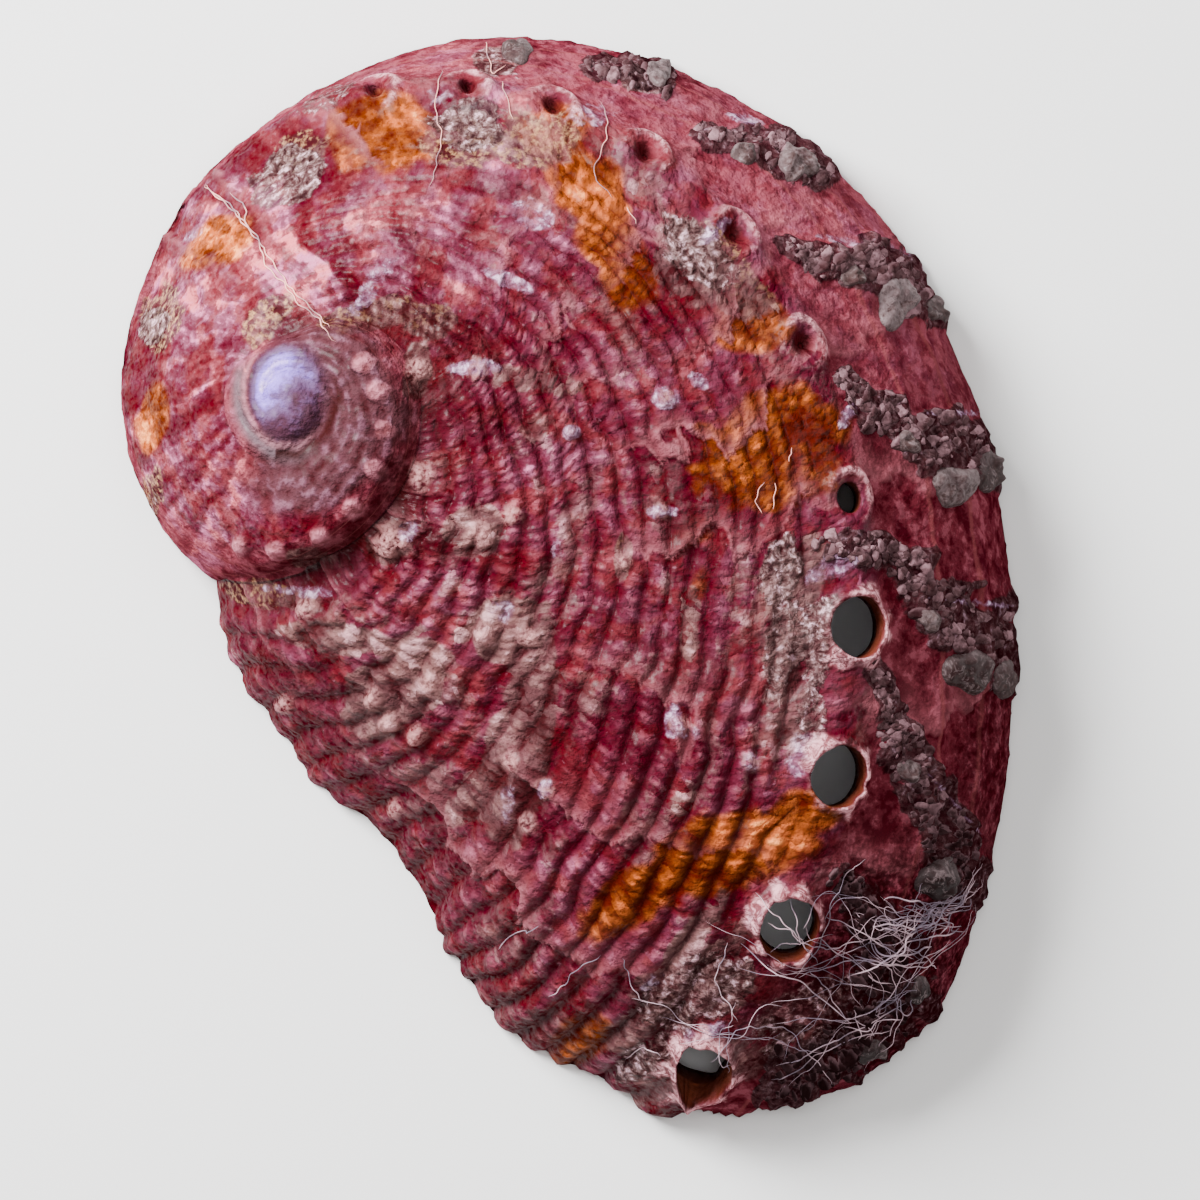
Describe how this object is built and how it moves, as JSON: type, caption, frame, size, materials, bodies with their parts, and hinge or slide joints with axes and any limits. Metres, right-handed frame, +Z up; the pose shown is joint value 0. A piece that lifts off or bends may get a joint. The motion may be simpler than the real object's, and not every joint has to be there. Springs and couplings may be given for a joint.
{
  "type": "abalone shell",
  "caption": "Small ribbed abalone shell with a low spire, a curved row of breathing holes, growth folds and a hollow pearly underside.",
  "frame": {"origin": "centre of the shell's outline seen from above, on the plane that its rim rests on", "axes": "+Z up out of the back of the shell, +Y from the growing front towards the spire's end, +X towards the row of holes"},
  "size_m": [0.0316, 0.0384, 0.0102],
  "materials": {
    "red_shell": "satin",
    "lint": "matte"
  },
  "bodies": {
    "root": {"shell": "red_shell"}
  },
  "joints": []
}
